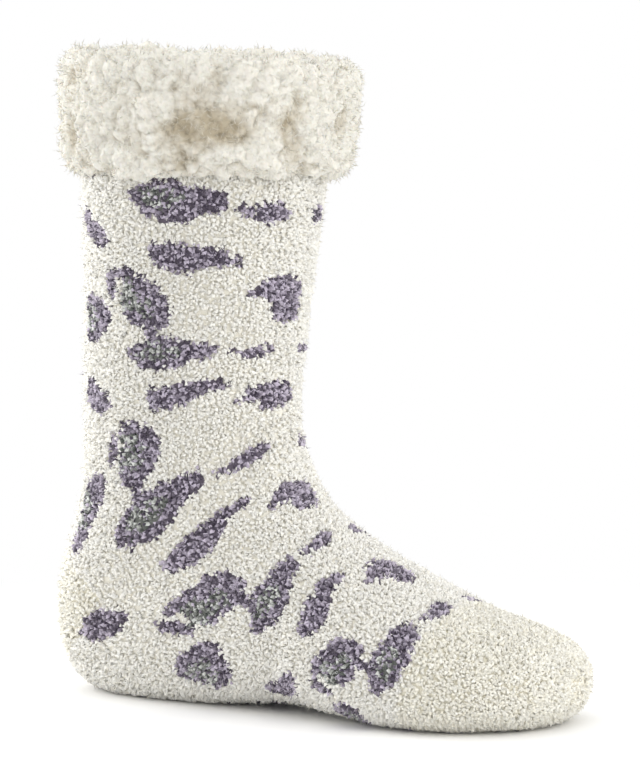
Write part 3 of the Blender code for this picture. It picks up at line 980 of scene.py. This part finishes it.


# Hollows where the fleece has been pressed, on its outside. turn is degrees round from the front
# towards the foot's left, down is from the knit's top edge, across and tall are half sizes in
# metres, and a negative depth is a ridge.
Dent = namedtuple("Dent", "turn down across tall depth")
DENTS = (
    Dent(-63, 0.024, 0.0170, 0.0120, 0.0044),
    Dent(-49, 0.035, 0.0090, 0.0040, -0.0022),
    Dent(-38, 0.027, 0.0045, 0.0070, -0.0022),
    Dent(-27, 0.022, 0.0060, 0.0110, 0.0024),
    Dent(-22, 0.036, 0.0045, 0.0050, 0.0020),
    Dent(-9, 0.033, 0.0060, 0.0050, -0.0020),
    Dent(6, 0.020, 0.0060, 0.0070, 0.0022),
    Dent(-92, 0.026, 0.0060, 0.0100, 0.0020),
    Dent(-82, 0.010, 0.0080, 0.0050, -0.0018),
    Dent(75, 0.020, 0.0130, 0.0080, 0.0028),
    Dent(130, 0.028, 0.0080, 0.0080, 0.0024),
    Dent(-165, 0.020, 0.0120, 0.0080, 0.0026),
    Dent(-130, 0.030, 0.0070, 0.0060, 0.0022),
)
CUFF_RADIUS = 0.060


def dented(heights_above):
    """How far the hollows press each point of the fold in."""
    turns = np.linspace(0.0, 360.0, CUFF_ROUND, endpoint=False)
    depths = np.zeros((CUFF_ALONG, CUFF_ROUND))
    for dent in DENTS:
        off = (turns - dent.turn + 180.0) % 360.0 - 180.0
        across = np.radians(off) * CUFF_RADIUS / dent.across
        down = (-heights_above - dent.down) / dent.tall
        depths += dent.depth * np.exp(-(across[None, :] ** 2) - down[:, None] ** 2)
    return depths


# The fleece's relief, in metres: wide billows, clumps, and the curls that clumps are made of
BILLOW_SIZE, BILLOW_HEIGHT, BILLOW_GAIN = 0.0190, 0.0026, 1.3
CLUMP_SIZE, CLUMP_HEIGHT = 0.0078, 0.0042
CURL_SIZE, CURL_HEIGHT = 0.0036, 0.0020
CRIMP_SIZE, CRIMP_HEIGHT = 0.0020, 0.0008
WARP_SIZE, WARP = 0.0080, 0.0030
CURL_WARP = 0.5  # share of the clumps' warp that the curls follow
WARP_SEED = 5
BILLOW_SEED = Vector((7.3, 1.9, 4.1))
DOME_FALL = 1.3  # how steeply a clump or curl falls away from its middle
DOME_TALL, DOME_VARIETY = 0.75, 0.5  # how tall it is, and how much that varies with the noise
DOME_LOOKUP = 3.7
DOME_MIDDLE = 0.4  # height of a dome that neither raises nor lowers the fleece
# Painted shade: a base amount, and how much each layer of relief deepens the fleece's colour in its
# hollows
BASE_HOLLOW_SHADE = 0.1
BILLOW_HOLLOW_SHADE, CLUMP_HOLLOW_SHADE, CURL_HOLLOW_SHADE = 0.4, 0.6, 0.4
DENT_HOLLOW_SHADE = 230.0  # painted shade: how much warmer and darker a hollow is coloured, to a metre of its depth


def dome(point, size):
    """From 1 on top of the tallest clumps to 0 between them."""
    spans, centres = noise.voronoi(point / size)
    tall = DOME_TALL + DOME_VARIETY * noise.noise(centres[0] * DOME_LOOKUP)
    return max(0.0, 1.0 - spans[0] * spans[0] * DOME_FALL) * tall


def fleece_relief(point):
    """(height in metres, painted hollow shade from 0 to 1) of curly fleece at a point of its backing.
    """
    warp = noise.noise_vector(point / WARP_SIZE) * WARP
    billow = noise.noise(point / BILLOW_SIZE + BILLOW_SEED) * BILLOW_GAIN
    clump = dome(point + warp, CLUMP_SIZE)
    curl = dome(point + warp * CURL_WARP, CURL_SIZE)
    crimp = dome(point, CRIMP_SIZE)
    height = BILLOW_HEIGHT * billow + CLUMP_HEIGHT * (clump - DOME_MIDDLE)
    height += CURL_HEIGHT * (curl - DOME_MIDDLE) + CRIMP_HEIGHT * (crimp - DOME_MIDDLE)
    hollow = BASE_HOLLOW_SHADE - BILLOW_HOLLOW_SHADE * billow + CLUMP_HOLLOW_SHADE * (0.5 - clump)
    return height, hollow + CURL_HOLLOW_SHADE * (0.5 - curl)


def fleece_cuff():
    """The turned-down fleece with its hollows, billows, clumps and curls."""
    grid, clumps, heights_above = fold_grid()
    normals = grid_normals(grid)
    relief = np.array([fleece_relief(Vector(p)) for p in grid.reshape(-1, 3)])
    relief = relief.reshape(*grid.shape[:2], 2)
    pressed = dented(heights_above)
    heights = (relief[..., 0] - pressed) * clumps[:, None]
    grid = grid + normals * heights[..., None]
    # Painted shade, deeper in the relief's hollows and in the pressed dents
    hollow = np.clip(relief[..., 1] + pressed * DENT_HOLLOW_SHADE, 0.0, 1.0)
    faces = loft_faces(CUFF_ALONG, CUFF_ROUND)
    return mesh_object("fleece_cuff", grid, faces, hollow=hollow)


# Painted shade: the fleece is coloured from pale on its clumps to a warm, darker shade in its hollows
# and dents.
FLEECE_PALE = (0.88, 0.855, 0.775, 1.0)
FLEECE_SHADE = (0.56, 0.49, 0.365, 1.0)
SHADE_START = 0.25  # painted shade starts here: hollows below this keep the pale colour
FLEECE_ROUGHNESS = 0.95
FLEECE_LIGHT = (0.25, (1.0, 0.85, 0.65), 0.0015)
FLEECE_GRAIN = 900.0  # fine fibres to a metre
FUZZ_STRENGTH, FUZZ_HEIGHT = 0.9, 0.0010


def curly_fleece():
    """Ivory fleece that light goes a little way into, with painted warm shade in its hollows, and fine
    fibres.
    """
    material, shader = new_material("curly_fleece", FLEECE_ROUGHNESS)
    let_light_in(shader, *FLEECE_LIGHT)
    tree = material.node_tree
    hollow = point_value(tree, "hollow")
    spread = add_node(
        tree, "ShaderNodeMapRange", {"Value": hollow, "From Min": SHADE_START, "From Max": 1.0}
    ).outputs["Result"]
    colour = mixed_colour(tree, spread, FLEECE_PALE, FLEECE_SHADE)
    places = add_node(tree, "ShaderNodeTexCoord").outputs["Object"]
    fibres = add_node(
        tree,
        "ShaderNodeTexNoise",
        {"Vector": places, "Scale": FLEECE_GRAIN, "Detail": 4.0, "Distortion": 1.5},
    ).outputs["Fac"]
    fuzz = add_node(
        tree,
        "ShaderNodeBump",
        {"Height": fibres, "Strength": FUZZ_STRENGTH, "Distance": FUZZ_HEIGHT},
    )
    tree.links.new(colour, shader.inputs["Base Color"])
    tree.links.new(fuzz.outputs["Normal"], shader.inputs["Normal"])
    return material


CURLY_FLEECE = curly_fleece()
noise.seed_set(WARP_SEED)
cuff_piece = fleece_cuff()
cuff_piece.data.materials.append(CURLY_FLEECE)
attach(cuff_piece, "root")
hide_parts("sherpa_cuff")

# Loose fibres of the fleece. They stand out of its clumps, bend over and make it look brushed. They
# are the ends of the same pile, so they are rooted just under its surface, on the side that shows.

FLEECE_FIBRE = Lock(0.0032, 0.00038, 2, 2, 0.75, 0.05, 1.2)
FLEECE_FIBRES = 11500
FLEECE_FIBRE_LEAN = 0.45
FLEECE_FIBRE_ROOT = 0.0003  # metres below the fleece's surface
FLEECE_FIBRE_SOFTNESS = 3.0
FLEECE_FIBRE_SIZES = (0.6, 1.3)
FIBRE_HOLLOW_SHADE = 0.75  # how much of the painted hollow shade under them its fibres take
RIM_FACING = 0.3  # fleece that faces up more than this is on the fold's rim


def fleece_fibres():
    """The fibres on the outer side and the rim of the fold, in the colour of their place, with part of
    its painted hollow shade.
    """
    chance = np.random.default_rng(PILE_SEED + 2)
    data = cuff_piece.data
    places = values_of(data.vertices, "co")
    normals = values_of(data.vertex_normals, "vector")
    hollow = values_of(data.attributes["hollow"].data, "value", 1)[:, 0]
    outward = places - places.mean(axis=0)
    outward[:, 2] = 0.0
    shown = ((normals * outward).sum(axis=1) > 0) | (normals[:, 2] > RIM_FACING)
    chosen = chance.choice(np.nonzero(shown)[0], FLEECE_FIBRES, replace=False)
    facing = normals[chosen] + chance.normal(0.0, FLEECE_FIBRE_LEAN, (FLEECE_FIBRES, 3))
    roots = places[chosen] - normals[chosen] * FLEECE_FIBRE_ROOT
    size = chance.uniform(*FLEECE_FIBRE_SIZES, FLEECE_FIBRES)
    looks = {"hollow": hollow[chosen] * FIBRE_HOLLOW_SHADE, "size": size}
    kinds = lock_kinds("fleece", FLEECE_FIBRE, chance)
    piece = planted(
        "fleece_fibres", roots, facing, kinds, CURLY_FLEECE, FLEECE_FIBRE_SOFTNESS, **looks
    )
    cleared(kinds)


fleece_fibres()

# Lining. The same curly fleece lines the whole inside, from the fold down to the toes, with its pile
# inwards. It is one with the cuff, and its upper end is hidden in the fold.

LINING_LAP = 0.012  # how far it goes up behind the fold's lower end
LINING_ROW_STEP, LINING_COLUMN_STEP = 6, 4
LINING_ROWS = slice(0, int(np.argmax(FROM_TOP < LINING_DROP - LINING_LAP)), LINING_ROW_STEP)
LINING_COLUMNS = slice(0, ROUND_STEPS, LINING_COLUMN_STEP)
LINING_TUFT = 0.0085
LINING_RELIEF = 0.0024
LINING_FILL = 0.8  # share of the pile's height that is full between its clumps
LINING_HOLLOW_SHADE, LINING_DOME_HOLLOW_SHADE = 0.75, 0.5  # painted shade of the lining's inside between its clumps, and how much less on top of one
# Painted shade at the lining's closed toe point
LINING_TIP_HOLLOW_SHADE = 0.5


def fleece_lining():
    """The lining's inner face, closed at the toes, its upper end inside the fold."""
    normals = SKIN_NORMALS[LINING_ROWS, LINING_COLUMNS]
    grid = SKIN[LINING_ROWS, LINING_COLUMNS]
    relief = np.array([dome(Vector(p), LINING_TUFT) for p in grid.reshape(-1, 3)])
    relief = relief.reshape(grid.shape[:2])
    lapped = np.clip((FROM_TOP[LINING_ROWS, None] - LINING_DROP) / LINING_LAP + 1.0, 0.0, 1.0)
    inset = KNIT_WALL + CLEARANCE + (LINING_PILE * LINING_FILL + relief * LINING_RELIEF) * lapped
    points, faces = closed_at_toes(grid - normals * inset[..., None])
    facing_in = [face[::-1] for face in faces]
    # Painted shade over the whole lining, deepest between its clumps
    hollow = LINING_HOLLOW_SHADE - relief.reshape(-1) * LINING_DOME_HOLLOW_SHADE
    hollow = np.concatenate((hollow, [LINING_TIP_HOLLOW_SHADE]))
    return mesh_object("fleece_lining", points, facing_in, hollow=hollow)


lining = fleece_lining()
lining.data.materials.append(CURLY_FLEECE)
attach(lining, "root")

# Floor, light and camera. A pale floor runs out into white, under an even sky and two soft boxes,
# and the camera looks at the foot's right side from a little in front, as in the photo.

CAMERA_TURN = math.radians(30)
CAMERA_RISE = math.radians(5)
CAMERA_DISTANCE = 1.6
PIXELS_PER_METRE = 2280
PICTURE_HEIGHT = 768
SENSOR = 0.036
CAMERA_SIGHT = 100
FLOOR_WIDTH = 40
FLOOR_COLOUR = (0.95, 0.95, 0.95, 1.0)
FLOOR_ROUGHNESS = 0.9
FLOOR_NEAR, FLOOR_FAR = 0.18, 0.42  # from the middle, where the floor starts to turn white and ends
SKY_SEEN = 1.0
SKY_LIGHT = 1.12
AIM = Vector((0.004, 0.0, 0.143))

bpy.ops.mesh.primitive_plane_add(size=FLOOR_WIDTH)
floor = bpy.context.object
floor.name = "floor"
floor_material, floor_shader = new_material("pale_floor", FLOOR_ROUGHNESS)
floor_shader.inputs["Base Color"].default_value = FLOOR_COLOUR
floor_tree = floor_material.node_tree
floor_place = add_node(floor_tree, "ShaderNodeTexCoord").outputs["Object"]
floor_reach = add_node(floor_tree, "ShaderNodeVectorMath", {0: floor_place}, operation="LENGTH")
floor_far = add_node(
    floor_tree,
    "ShaderNodeMapRange",
    {"Value": floor_reach.outputs["Value"], "From Min": FLOOR_NEAR, "From Max": FLOOR_FAR},
    interpolation_type="SMOOTHSTEP",
)
floor_white = add_node(floor_tree, "ShaderNodeEmission", {"Color": WHITE})
floor_blend = add_node(
    floor_tree,
    "ShaderNodeMixShader",
    {0: floor_far.outputs["Result"], 1: floor_shader.outputs[0], 2: floor_white.outputs[0]},
)
floor_output = floor_tree.nodes["Material Output"]
floor_tree.links.new(floor_blend.outputs[0], floor_output.inputs["Surface"])
floor.data.materials.append(floor_material)


def aimed(data, turn, rise, distance):
    """A camera or lamp turned round from the foot's right side, raised, and aimed at the sock."""
    made = bpy.data.objects.new(data.name, data)
    bpy.context.scene.collection.objects.link(made)
    away = Vector((math.sin(turn) * math.cos(rise), -math.cos(turn) * math.cos(rise), math.sin(rise)))
    made.location = AIM + away * distance
    made.rotation_euler = away.to_track_quat("Z", "Y").to_euler()
    return made


camera_data = bpy.data.cameras.new("camera")
camera_data.sensor_width = SENSOR / MILLIMETRE
camera_data.lens = PIXELS_PER_METRE * CAMERA_DISTANCE / PICTURE_HEIGHT * SENSOR / MILLIMETRE
camera_data.clip_end = CAMERA_SIGHT
bpy.context.scene.camera = aimed(camera_data, CAMERA_TURN, CAMERA_RISE, CAMERA_DISTANCE)

world = bpy.data.worlds.new("studio")
bpy.context.scene.world = world
world.use_nodes = True
sky = world.node_tree.nodes["Background"]
seen = add_node(world.node_tree, "ShaderNodeLightPath").outputs["Is Camera Ray"]
strength = add_node(
    world.node_tree, "ShaderNodeMapRange", {"Value": seen, "To Min": SKY_LIGHT, "To Max": SKY_SEEN}
)
world.node_tree.links.new(strength.outputs["Result"], sky.inputs["Strength"])
sky.inputs["Color"].default_value = WHITE

# Soft boxes: metres from the sock's middle, turned round from the camera and raised, and watts
SoftBox = namedtuple("SoftBox", "turn rise distance size watts")
SOFT_BOXES = (
    SoftBox(60, 15, 1.2, 0.9, 4),
    SoftBox(-115, 15, 1.2, 0.9, 8.5),
)
for number, box in enumerate(SOFT_BOXES):
    lamp_data = bpy.data.lights.new(f"soft_box_{number}", "AREA")
    lamp_data.size = box.size
    lamp_data.energy = box.watts
    aimed(lamp_data, CAMERA_TURN + math.radians(box.turn), math.radians(box.rise), box.distance)
bpy.context.scene.view_settings.view_transform = "Standard"
